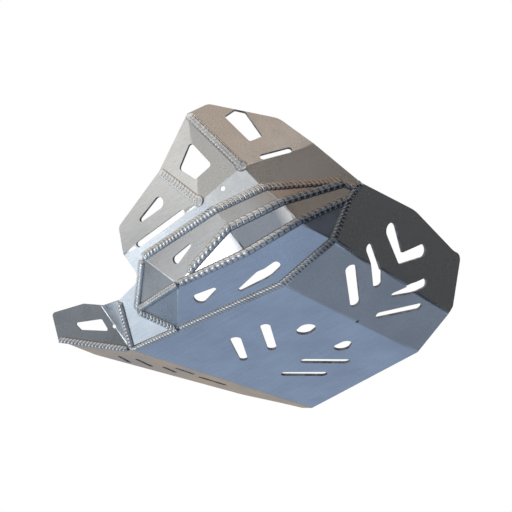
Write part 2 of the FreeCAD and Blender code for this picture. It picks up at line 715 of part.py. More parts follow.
def main():
    points = corner_points()
    rings = {sheet: {k: v.split() for k, v in facets.items()} for sheet, facets in SHEETS.items()}
    normals, outlines = {}, {}
    for facets in rings.values():
        for name, ring in facets.items():
            normals[name] = plane_of(*[points[corner] for corner in ring[:3]])[0]
            outlines[name] = face_of([points[corner] for corner in ring])

    holes = front_cutters(points, normals)
    holes["belly_plate"] = belly_cutters(normals)
    trims = edge_cutters(points, normals)
    nodes = {}
    for name, facets in rings.items():
        sheet = sheet_solid(facets, points, normals)
        for other in nodes.values():
            if sheet.BoundBox.intersect(other.BoundBox):
                sheet = sheet.cut(other)
        for cutter in trims.get(name, []) + holes.get(name, []):
            sheet = sheet.cut(cutter)
        nodes[name] = max(sheet.Solids, key=lambda solid: solid.Volume)
    for name, weld in WELDS.items():
        nodes[name] = weld_bead(points, normals, outlines, weld)

    box = Part.makeCompound(list(nodes.values())).BoundBox
    shift = V(-box.Center.x, -box.Center.y, -box.ZMin)
    os.makedirs("parts", exist_ok=True)
    for name, solid in nodes.items():
        solid.translate(shift)
        solid.exportStep("parts/" + name + ".step")


main()
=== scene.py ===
"""Skid plate for an off-road motorcycle: bent aluminium sheets, welded edge to edge, seen from below.

The CAD's flat facets are kept. The folds get bend radii, the cut edges are broken and the beads are rippled.
"""

import logging
import math
import random
from dataclasses import dataclass, field
from enum import Enum

import bmesh
import bpy
from mathutils import Matrix, Vector


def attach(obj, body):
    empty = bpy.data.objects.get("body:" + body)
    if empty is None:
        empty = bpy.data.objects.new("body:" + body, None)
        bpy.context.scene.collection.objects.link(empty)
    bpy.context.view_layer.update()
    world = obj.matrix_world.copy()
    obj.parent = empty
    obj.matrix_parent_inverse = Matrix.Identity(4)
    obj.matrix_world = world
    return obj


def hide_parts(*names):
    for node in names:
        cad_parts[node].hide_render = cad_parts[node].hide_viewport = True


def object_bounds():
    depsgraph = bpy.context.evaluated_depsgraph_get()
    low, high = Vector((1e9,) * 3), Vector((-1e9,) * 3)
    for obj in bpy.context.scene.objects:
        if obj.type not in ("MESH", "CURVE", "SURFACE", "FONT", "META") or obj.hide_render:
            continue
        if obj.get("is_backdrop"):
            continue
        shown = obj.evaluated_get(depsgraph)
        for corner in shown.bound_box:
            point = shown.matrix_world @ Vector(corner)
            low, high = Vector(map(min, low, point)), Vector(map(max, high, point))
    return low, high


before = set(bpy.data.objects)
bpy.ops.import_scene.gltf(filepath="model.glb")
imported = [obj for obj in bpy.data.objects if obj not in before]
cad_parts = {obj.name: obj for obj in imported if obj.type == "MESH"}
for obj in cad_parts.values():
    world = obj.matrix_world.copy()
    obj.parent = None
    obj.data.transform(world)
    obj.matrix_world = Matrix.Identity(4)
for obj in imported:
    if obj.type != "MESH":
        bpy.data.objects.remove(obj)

log = logging.getLogger("skid_plate")

MM = 0.001
# Two points nearer than this, in metres, count as one
MERGE = 1e-6
# Nearly all of a noise texture's values lie between these
NOISE_SPAN = (0.3, 0.7)
# Sockets of Blender's mix node when it mixes colours: the two colours, and the result
MIX_COLOURS, MIX_RESULT = (6, 7), 2
# Attribute of a bead's points: how darkened each is, by oxidation and painted shade, from 0 on a ripple to 1
# in the valley between two
VALLEY = "valley"
CAD_LOW, CAD_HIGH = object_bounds()

# Corners where the sheets meet, on their outer faces, in mm in the row frame
CORNERS: dict[str, tuple[float, float, float]] = {
    "front_right": (95.5, -95.1, 2.2),
    "front_left": (68.5, 98.7, 2.2),
    "front_step": (86.6, -30.8, 2.2),
    "chine_front": (56.0, 156.9, 27.7),
    "tip_right": (151.5, -149.9, 19.5),
    "nose_centre": (155.3, 81.8, 68.7),
    "nose_right": (161.7, -25.6, 61.9),
    "notch_top": (135.1, -67.3, 36.4),
    "box_tip": (119.5, -56.7, 25.3),
    "top_right": (149.9, -9.8, 54.4),
    "top_centre": (143.5, 90.7, 60.4),
    "brow_top": (176.6, 49.5, 114.3),
    "nose_left": (141.1, 126.7, 91.2),
    "wing_base": (85.6, 172.4, 119.2),
    "centre_top": (182.8, 99.5, 151.0),
    "top_left": (122.5, 133.5, 71.1),
    "top_end": (64.4, 175.9, 81.9),
    "joint_low": (46.5, 186.4, 76.5),
    "joint_top": (43.9, 190.0, 82.5),
    "corner": (126.9, 15.7, 19.7),
    "upper_centre": (132.3, 94.7, 42.0),
    "upper_left": (108.9, 143.4, 55.5),
    "upper_end": (60.0, 179.1, 79.2),
    "lower_centre": (114.6, 98.8, 19.4),
    "lower_left": (94.1, 147.1, 36.7),
    "neck": (52.7, 179.5, 64.7),
    "cheek_top": (147.7, -112.9, 48.7),
    "cheek_fold": (133.5, -98.6, 44.6),
    "right_front": (87.5, -164.2, 24.7),
    "rear_left": (-161.5, 92.2, 2.2),
    "rear_chine": (-152.5, 145.9, 25.4),
    "left_tail": (-141.5, 180.2, 80.5),
}


def corner(name: str) -> Vector:
    """A sheet corner in metres."""
    return Vector(CORNERS[name]) * MM


def linear(code: str) -> tuple[float, float, float, float]:
    """Turns an sRGB hex code into a linear colour, by the curve of the sRGB standard.

    Args:
        code: Six hex digits with a leading hash.

    Returns:
        Red, green, blue and alpha, each from 0 to 1.
    """
    parts = [int(code[i : i + 2], 16) / 255 for i in (1, 3, 5)]
    low = [p / 12.92 if p <= 0.04045 else ((p + 0.055) / 1.055) ** 2.4 for p in parts]
    return (low[0], low[1], low[2], 1.0)


def add_node(
    tree: bpy.types.NodeTree, kind: str, settings: dict | None = None, links: dict | None = None
) -> bpy.types.Node:
    """Adds one shader node.

    Args:
        tree: The node tree that takes it.
        kind: Blender's node type.
        settings: Attribute names, or socket names or numbers, with the value each gets.
        links: Input socket names or numbers, with the output socket that feeds each.

    Returns:
        The new node.
    """
    node = tree.nodes.new(kind)
    for key, value in (settings or {}).items():
        if isinstance(key, str) and hasattr(node, key):
            setattr(node, key, value)
        else:
            node.inputs[key].default_value = value
    for key, source in (links or {}).items():
        tree.links.new(source, node.inputs[key])
    return node


def empty_material(name: str) -> tuple[bpy.types.Material, bpy.types.NodeTree]:
    """Makes a material with no nodes in its tree.

    Args:
        name: The material's name.

    Returns:
        The material and its tree.
    """
    made = bpy.data.materials.new(name)
    made.use_nodes = True
    made.node_tree.nodes.clear()
    return made, made.node_tree


def noise(
    tree: bpy.types.NodeTree, place: bpy.types.NodeSocket, size_mm: float, detail: float, rough: float
) -> bpy.types.NodeSocket:
    """Noise whose blotches are about size_mm wide.

    Args:
        tree: The node tree.
        place: Coordinates in metres.
        size_mm: Width of a blotch.
        detail: Octaves of finer noise.
        rough: Weight of the finer noise.

    Returns:
        The noise value, about 0.3 to 0.7.
    """
    settings = {"Scale": 1.0 / (size_mm * MM), "Detail": detail, "Roughness": rough}
    return add_node(tree, "ShaderNodeTexNoise", settings, {"Vector": place}).outputs["Fac"]


def ramp(
    tree: bpy.types.NodeTree,
    value: bpy.types.NodeSocket,
    given: tuple[float, float],
    wanted: tuple[float, float],
) -> bpy.types.NodeSocket:
    """Carries a value from one range to another and stops at the ends."""
    settings = {"From Min": given[0], "From Max": given[1], "To Min": wanted[0], "To Max": wanted[1]}
    return add_node(tree, "ShaderNodeMapRange", settings, {"Value": value}).outputs[0]


def blend(
    tree: bpy.types.NodeTree,
    share: bpy.types.NodeSocket,
    first: bpy.types.NodeSocket | tuple[float, float, float, float],
    second: bpy.types.NodeSocket | tuple[float, float, float, float],
) -> bpy.types.NodeSocket:
    """Mixes two colours, each a socket or a plain colour.

    Args:
        tree: The node tree.
        share: How much of the second colour there is, from 0 to 1.
        first: The first colour.
        second: The second colour.

    Returns:
        The mixed colour.
    """
    settings, links = {"data_type": "RGBA"}, {0: share}
    for place, colour in zip(MIX_COLOURS, (first, second)):
        (settings if isinstance(colour, tuple) else links)[place] = colour
    return add_node(tree, "ShaderNodeMix", settings, links).outputs[MIX_RESULT]


def bumps(
    tree: bpy.types.NodeTree, height: bpy.types.NodeSocket, strength: float, depth_mm: float
) -> bpy.types.NodeSocket:
    """Surface relief that follows a height between 0 and 1."""
    settings = {"Strength": strength, "Distance": depth_mm * MM}
    return add_node(tree, "ShaderNodeBump", settings, {"Height": height}).outputs[0]


def finish_metal(
    tree: bpy.types.NodeTree,
    colour: bpy.types.NodeSocket,
    rough: bpy.types.NodeSocket,
    bump: bpy.types.NodeSocket,
) -> None:
    """Closes a metal's node tree with its surface and output.

    Args:
        tree: The node tree.
        colour: The metal's colour.
        rough: Its roughness.
        bump: Its relief.
    """
    surface = add_node(
        tree,
        "ShaderNodeBsdfPrincipled",
        {"Metallic": 1.0},
        {"Base Color": colour, "Roughness": rough, "Normal": bump},
    )
    add_node(tree, "ShaderNodeOutputMaterial", {}, {"Surface": surface.outputs[0]})


class Grain(Enum):
    """Which way the rolling and sanding marks of a sheet run."""

    ALONG_BIKE = (0.02, 1.0, 1.0)
    ACROSS_BIKE = (1.0, 0.02, 1.0)
    UPRIGHT = (1.0, 1.0, 0.02)


@dataclass(frozen=True)
class RolledAluminium:
    """5052 aluminium sheet as rolled and rubbed down: a satin metal with fine grain and cloudy marks.

    The grain is about 0.1 mm wide on the real sheet. It is drawn 0.5 mm wide so that it shows in the render.
    haze is the most that a cloud dulls the metal. streaks and specks are how much the grain and the grit
    darken and lighten it. The last field holds bands of painted shade and painted reflection: each a colour,
    and from where to where in mm towards the left it takes over.
    """

    name: str
    bright: str
    dull: str
    grain: Grain
    grain_mm: float = 0.5
    grit_mm: float = 0.9
    cloud_mm: float = 55.0
    roughness: tuple[float, float] = (0.2, 0.34)
    haze: float = 0.5
    cloud_span: tuple[float, float] = (0.35, 0.68)
    streaks: tuple[float, float] = (0.9, 1.06)
    specks: tuple[float, float] = (0.94, 1.04)
    bump: float = 0.05
    bump_mm: float = 0.05
    # Bands of painted shade and painted reflection, each a colour and its span in mm towards the left
    toning: tuple[tuple[str, float, float], ...] = ()

    def material(self) -> bpy.types.Material:
        """Builds the node material.

        Returns:
            The finished material.
        """
        made = bpy.data.materials.get(self.name)
        if made:
            return made
        made, tree = empty_material(self.name)
        place = add_node(tree, "ShaderNodeTexCoord").outputs["Object"]
        # Grain: noise drawn out along the rolling direction
        stretched = add_node(tree, "ShaderNodeMapping", {"Scale": self.grain.value}, {"Vector": place})
        grain = noise(tree, stretched.outputs[0], self.grain_mm * 2, detail=4.0, rough=0.6)
        grit = noise(tree, place, self.grit_mm, detail=2.0, rough=0.7)
        # Clouds: where hands, coolant and cleaning have left the sheet duller
        cloud = noise(tree, place, self.cloud_mm, detail=5.0, rough=0.55)
        dulled = ramp(tree, cloud, self.cloud_span, (0.0, self.haze))
        colour = blend(tree, dulled, linear(self.bright), linear(self.dull))
        # Painted shade and painted reflection: bands that darken or lighten the sheet towards the left
        across = add_node(tree, "ShaderNodeSeparateXYZ", {}, {0: place}).outputs["Y"]
        for tone, start, end in self.toning:
            colour = blend(tree, ramp(tree, across, (start * MM, end * MM), (0.0, 1.0)), colour, linear(tone))
        streak = ramp(tree, grain, NOISE_SPAN, self.streaks)
        speck = ramp(tree, grit, NOISE_SPAN, self.specks)
        marks = add_node(tree, "ShaderNodeMath", {"operation": "MULTIPLY"}, {0: streak, 1: speck}).outputs[0]
        marked = add_node(tree, "ShaderNodeVectorMath", {"operation": "SCALE"}, {0: colour, "Scale": marks})
        satin = ramp(tree, cloud, NOISE_SPAN, self.roughness)
        finish_metal(tree, marked.outputs[0], satin, bumps(tree, grain, self.bump, self.bump_mm))
        return made


@dataclass(frozen=True)
class LaserCutEdge:
    """The 3 mm wall of a laser-cut edge: grey, matt and finely broken up by the furrows of the cut.

    The furrows are about 0.2 mm wide on the real edge. Here they are marks 0.6 mm wide, so that they show.
    """

    name: str = "laser_cut_aluminium_edge"
    light: str = "#a9aaac"
    dark: str = "#5f6062"
    furrow_mm: float = 0.6
    furrows_to_a_stain: int = 12
    furrow_weight: float = 0.5
    shade_span: tuple[float, float] = (0.55, 0.95)
    roughness: tuple[float, float] = (0.6, 0.8)
    bump: float = 0.4
    bump_mm: float = 0.1

    def material(self) -> bpy.types.Material:
        """Builds the node material.

        Returns:
            The finished material.
        """
        made = bpy.data.materials.get(self.name)
        if made:
            return made
        made, tree = empty_material(self.name)
        place = add_node(tree, "ShaderNodeTexCoord").outputs["Object"]
        furrow = noise(tree, place, self.furrow_mm, detail=3.0, rough=0.6)
        darkening = noise(tree, place, self.furrow_mm * self.furrows_to_a_stain, detail=2.0, rough=0.5)
        weighted = {"operation": "MULTIPLY_ADD", 1: self.furrow_weight}
        mixed = add_node(tree, "ShaderNodeMath", weighted, {0: furrow, 2: darkening})
        shade = ramp(tree, mixed.outputs[0], self.shade_span, (0.0, 1.0))
        colour = blend(tree, shade, linear(self.dark), linear(self.light))
        rough = ramp(tree, furrow, NOISE_SPAN, self.roughness)
        finish_metal(tree, colour, rough, bumps(tree, furrow, self.bump, self.bump_mm))
        return made


@dataclass(frozen=True)
class WeldMetal:
    """4043 filler laid by TIG: bright metal with oxidation and painted shade in the valleys and at the feet,
    and a torch tint towards the left.

    The tint grows between tint_from_mm and tint_to_mm, where the seams crowd together. Elsewhere it lies in
    patches about patch_mm wide.
    """

    name: str
    tint: str
    bright: str = "#dad8d4"
    # Dark tone of the valleys and feet: oxidation, with painted shade in the hollows
    oxide_and_shade: str = "#3f3d3b"
    grit_mm: float = 0.8
    patch_mm: float = 40.0
    tint_from_mm: float = 120.0
    tint_to_mm: float = 150.0
    tint_share: float = 0.85
    patch_share: float = 0.3
    patch_span: tuple[float, float] = (0.5, 0.7)
    oxide_and_shade_share: float = 0.75
    oxide_and_shade_span: tuple[float, float] = (0.15, 1.0)
    roughness: tuple[float, float] = (0.16, 0.34)
    bump: float = 0.25
    bump_mm: float = 0.1

    def material(self) -> bpy.types.Material:
        """Builds the node material.

        Returns:
            The finished material.
        """
        made = bpy.data.materials.get(self.name)
        if made:
            return made
        made, tree = empty_material(self.name)
        place = add_node(tree, "ShaderNodeTexCoord").outputs["Object"]
        # The bead's own attribute tells its feet and the valleys between ripples: oxidation, and painted
        # shade in these hollows
        valley = add_node(tree, "ShaderNodeAttribute", {"attribute_name": VALLEY}).outputs["Fac"]
        grit = noise(tree, place, self.grit_mm, detail=3.0, rough=0.6)
        patch = noise(tree, place, self.patch_mm, detail=2.0, rough=0.5)
        across = add_node(tree, "ShaderNodeSeparateXYZ", {}, {0: place}).outputs["Y"]
        crowd = ramp(tree, across, (self.tint_from_mm * MM, self.tint_to_mm * MM), (0.0, self.tint_share))
        spots = ramp(tree, patch, self.patch_span, (0.0, self.patch_share))
        toning = add_node(tree, "ShaderNodeMath", {"operation": "MAXIMUM"}, {0: crowd, 1: spots})
        body = blend(tree, toning.outputs[0], linear(self.bright), linear(self.tint))
        # Painted shade and oxidation: the valleys and feet darken towards the dark tone
        oxide_and_shade_amount = ramp(tree, valley, self.oxide_and_shade_span, (0.0, self.oxide_and_shade_share))
        colour = blend(tree, oxide_and_shade_amount, body, linear(self.oxide_and_shade))
        rough = ramp(tree, grit, NOISE_SPAN, self.roughness)
        finish_metal(tree, colour, rough, bumps(tree, grit, self.bump, self.bump_mm))
        return made


GREY_WELD = WeldMetal("tig_weld_aluminium", tint="#77787b")
STRAW_WELD = WeldMetal("tig_weld_aluminium_straw_tinted", tint="#a58d79")
BELLY_FINISH = RolledAluminium("rolled_aluminium_belly", "#dfe2e6", "#bec2c8", Grain.ACROSS_BIKE)
FRONT_FINISH = RolledAluminium("rolled_aluminium_front", "#ebeae6", "#d2d0cb", Grain.ACROSS_BIKE)
WING_FINISH = RolledAluminium("rolled_aluminium_wing", "#e2ddd7", "#c4bdb4", Grain.ALONG_BIKE)
# Its band is a painted reflection: a darker tan tone towards the left
GUARD_FINISH = RolledAluminium(
    "rolled_aluminium_guard", "#dcdbd8", "#b9b7b4", Grain.ACROSS_BIKE, toning=(("#b5a498", 118.0, 150.0),)
)
# Its bands are painted: the darker grey one is painted shade, the pale one further left a painted highlight
STEP_FINISH = RolledAluminium(
    "rolled_aluminium_step",
    "#dfe0e2",
    "#bcbdbf",
    Grain.ACROSS_BIKE,
    roughness=(0.14, 0.22),
    toning=(("#92959a", 84.0, 98.0), ("#f3ece4", 134.0, 150.0)),
)
CHEEK_FINISH = RolledAluminium("rolled_aluminium_cheek", "#dadcdd", "#b4b6b8", Grain.UPRIGHT)


def finished_piece(bm: bmesh.types.BMesh, name: str, node: str) -> bpy.types.Object:
    """Turns a bmesh into a piece of the object that stands for a CAD node.

    Args:
        bm: The mesh, which is freed.
        name: The piece's name.
        node: The CAD node that it replaces.

    Returns:
        The new object, riding with the root body.
    """
    mesh = bpy.data.meshes.new(name)
    bm.to_mesh(mesh)
    bm.free()
    made = bpy.data.objects.new(name, mesh)
    bpy.context.scene.collection.objects.link(made)
    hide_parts(node)
    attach(made, "root")
    return made


@dataclass
class Fold:
    """One bend line on one skin of a sheet: where it lies, and the two flats beside it."""

    start: Vector
    normals: tuple[Vector, Vector]
    inward: tuple[Vector, Vector]
    angle: float
    convex: bool

    def radius(self, inner: float, sheet: float) -> float:
        """Bend radius of this skin: the outside of a bend is larger by the sheet's thickness."""
        return inner + (sheet if self.convex else 0.0)

    def reach(self, inner: float, sheet: float) -> float:
        """Distance from the sharp fold at which the bend begins."""
        return self.radius(inner, sheet) * math.tan(self.angle / 2)

    def shift(self, point: Vector, side: int, inner: float, sheet: float) -> Vector | None:
        """How far a point of a flat moves when the bend is rounded.

        Args:
            point: A point on the flat.
            side: Which of the two flats it is on.
            inner: Inside bend radius.
            sheet: Sheet thickness.

        Returns:
            The movement, or None where the point is clear of the bend.
        """
        reach, radius = self.reach(inner, sheet), self.radius(inner, sheet)
        distance = (point - self.start).dot(self.inward[side])
        if not -MERGE <= distance < reach - MERGE / 10:
            return None
        turn = (1.0 - distance / reach) * self.angle / 2
        slide = distance - (reach - radius * math.sin(turn))
        sink = radius * (1.0 - math.cos(turn)) * (-1.0 if self.convex else 1.0)
        return self.inward[side] * -slide + self.normals[side] * sink


@dataclass
class FoldedSheet:
    """One bent sheet: the flat facets of the CAD solid, with bend radii at the folds and broken cut edges.

    bend_radius_mm is the inside radius, edge_mm the width of a broken edge and steps the number of strips on
    each side of a bend.
    """

    node: str
    finish: RolledAluminium
    slot: str
    bend_radius_mm: float = 4.0
    sheet_mm: float = 3.0
    edge_mm: float = 0.3
    steps: int = 4
    made: bpy.types.Object | None = field(default=None, repr=False)

    # Tolerances: cosines of nearly parallel and nearly square directions, distances in mm, angles in degrees
    SAME_WAY = 0.9999
    NEARLY_SQUARE = 0.3
    TWIN_MM = 0.03
    ON_PLANE_MM = 0.01
    TOUCHING_MM = 0.002
    STRAIGHT = 0.4
    BENDS = (4.0, 80.0)
    CORNERED = 45.0

    def _merged(self) -> bmesh.types.BMesh:
        """Joins the loose triangles of the CAD mesh into whole facets.

        Returns:
            A new mesh. The CAD node's own is left alone.
        """
        bm = bmesh.new()
        bm.from_mesh(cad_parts[self.node].data)
        bmesh.ops.remove_doubles(bm, verts=bm.verts, dist=2 * MERGE)
        bmesh.ops.dissolve_limit(bm, angle_limit=math.radians(self.STRAIGHT), verts=bm.verts, edges=bm.edges)
        bm.normal_update()
        return bm

    def _broad(self, bm: bmesh.types.BMesh) -> set[bmesh.types.BMFace]:
        """Tells the faces of the sheet itself from its cut edges: they have a twin one thickness behind them.

        Args:
            bm: The sheet's mesh.

        Returns:
            The faces that have a twin.
        """
        planes = [(face.normal.copy(), face.normal.dot(face.verts[0].co)) for face in bm.faces]
        found = set()
        for face, (normal, height) in zip(bm.faces, planes):
            for other, depth in planes:
                apart = abs(height + depth - self.sheet_mm * MM)
                if normal.dot(other) < -self.SAME_WAY and apart < self.TWIN_MM * MM:
                    found.add(face)
                    break
        return found

    def _folds(self, bm: bmesh.types.BMesh, broad: set[bmesh.types.BMFace]) -> list[Fold]:
        """Finds the bend lines.

        Args:
            bm: The sheet's mesh.
            broad: The faces of the sheet itself.

        Returns:
            One bend line for each pair of flats on each skin.
        """
        folds: dict[tuple, tuple[float, Fold]] = {}
        least, most = (math.radians(angle) for angle in self.BENDS)
        for edge in bm.edges:
            if len(edge.link_loops) != 2 or not all(face in broad for face in edge.link_faces):
                continue
            angle = edge.calc_face_angle()
            if not least < angle < most:
                continue
            normals, inward = [], []
            for loop in edge.link_loops:
                travel = (loop.link_loop_next.vert.co - loop.vert.co).normalized()
                normals.append(loop.face.normal.copy())
                inward.append(loop.face.normal.cross(travel).normalized())
            key = tuple(sorted(tuple(round(c, 2) for c in normal) for normal in normals))
            fold = Fold(edge.verts[0].co.copy(), tuple(normals), tuple(inward), angle, edge.is_convex)
            if edge.calc_length() > folds.get(key, (0.0, None))[0]:
                folds[key] = (edge.calc_length(), fold)
        return [fold for _, fold in folds.values()]

    def _beside(self, bm: bmesh.types.BMesh, normal: Vector, level: float) -> list[bmesh.types.BMFace]:
        """Finds the faces that a cut beside a bend goes through.

        Args:
            bm: The sheet's mesh.
            normal: Outward direction of one flat.
            level: The flat's distance from the origin in that direction, in metres.

        Returns:
            The faces of the flat and of the cut edges that touch it.
        """
        flat = {
            face
            for face in bm.faces
            if face.normal.dot(normal) > self.SAME_WAY
            and abs(normal.dot(face.verts[0].co) - level) < self.ON_PLANE_MM * MM
        }
        touching = {near for face in flat for edge in face.edges for near in edge.link_faces}
        rim = {face for face in touching - flat if abs(face.normal.dot(normal)) < self.NEARLY_SQUARE}
        return [*flat, *rim]

    def _bend(self, bm: bmesh.types.BMesh, folds: list[Fold]) -> set[bmesh.types.BMVert]:
        """Cuts the flats beside each bend into narrow strips and rolls them round its radius.

        Args:
            bm: The sheet's mesh.
            folds: Its bend lines.

        Returns:
            The corners that the bends moved.
        """
        inner, sheet = self.bend_radius_mm * MM, self.sheet_mm * MM
        for fold in folds:
            for side in (0, 1):
                normal, level = fold.normals[side], fold.normals[side].dot(fold.start)
                for k in range(1, self.steps + 1):
                    cut = self._beside(bm, normal, level)
                    parts = [*cut, *{e for f in cut for e in f.edges}, *{v for f in cut for v in f.verts}]
                    reach = fold.reach(inner, sheet) * k / self.steps
                    bmesh.ops.bisect_plane(
                        bm,
                        geom=parts,
                        dist=MERGE,
                        plane_co=fold.start + fold.inward[side] * reach,
                        plane_no=fold.inward[side],
                    )
        moved: dict[bmesh.types.BMVert, Vector] = {}
        for fold in folds:
            levels = [normal.dot(fold.start) for normal in fold.normals]
            for vert in bm.verts:
                for side in (0, 1):
                    if abs(fold.normals[side].dot(vert.co) - levels[side]) > self.TOUCHING_MM * MM:
                        continue
                    shift = fold.shift(vert.co, side, inner, sheet)
                    if shift is not None:
                        moved[vert] = moved.get(vert, Vector()) + shift
                        break
        for vert, shift in moved.items():
            vert.co += shift
        return set(moved)

    def _break_edges(self, bm: bmesh.types.BMesh) -> None:
        """Takes the sharpness off the cut edges of the outline and the openings.

        Args:
            bm: The sheet's mesh.
        """
        rims = [
            edge
            for edge in bm.edges
            if len(edge.link_faces) == 2
            and edge.calc_face_angle() > math.radians(self.CORNERED)
            and sum(face.material_index for face in edge.link_faces) == 1
        ]
        bmesh.ops.bevel(
            bm,
            geom=rims,
            offset=self.edge_mm * MM,
            offset_type="OFFSET",
            segments=2,
            profile=0.5,
            affect="EDGES",
            material=-1,
            clamp_overlap=True,
        )

    def build(self) -> bpy.types.Object:
        """Makes the piece that stands for the CAD solid.

        Returns:
            The new object, in place of the CAD node.
        """
        bm = self._merged()
        broad = self._broad(bm)
        for face in bm.faces:
            face.material_index = 0 if face in broad else 1
        moved = self._bend(bm, self._folds(bm, broad))
        for face in bm.faces:
            face.smooth = face.material_index == 1 or any(vert in moved for vert in face.verts)
        bm.normal_update()
        flats = {face for face in bm.faces if face.material_index == 0 and not face.smooth}
        log.info("%s: %d flats, %d moved", self.node, len(flats), len(moved))
        self._break_edges(bm)
        self.made = finished_piece(bm, self.node + "_bent", self.node)
        return self.made

    def dress(self) -> None:
        """Gives the piece its finish, and its cut edges theirs."""
        self.made.data.materials.append(self.finish.material())
        self.made.data.materials.append(LaserCutEdge().material())


class Bead(Enum):
    """How fast the torch moved: the length of one ripple in mm."""

    FINE = 3.8
    MEDIUM = 4.3
    COARSE = 6.4


@dataclass(frozen=True)
class Ring:
    """One cut across a bead.

    seam, left and right are the fold between the sheets and the bead's two feet, in metres. up points outward
    and travel along the run. crown is the height in metres. The rest are shares: wide scales the width, fade
    closes the ends, valley tells how darkened the cut is, by oxidation and painted shade, and dip hollows the
    crater at the end.
    """

    seam: Vector
    left: Vector
    right: Vector
    up: Vector
    travel: Vector
    crown: float
    wide: float
    fade: float
    valley: float
    dip: float = 0.0


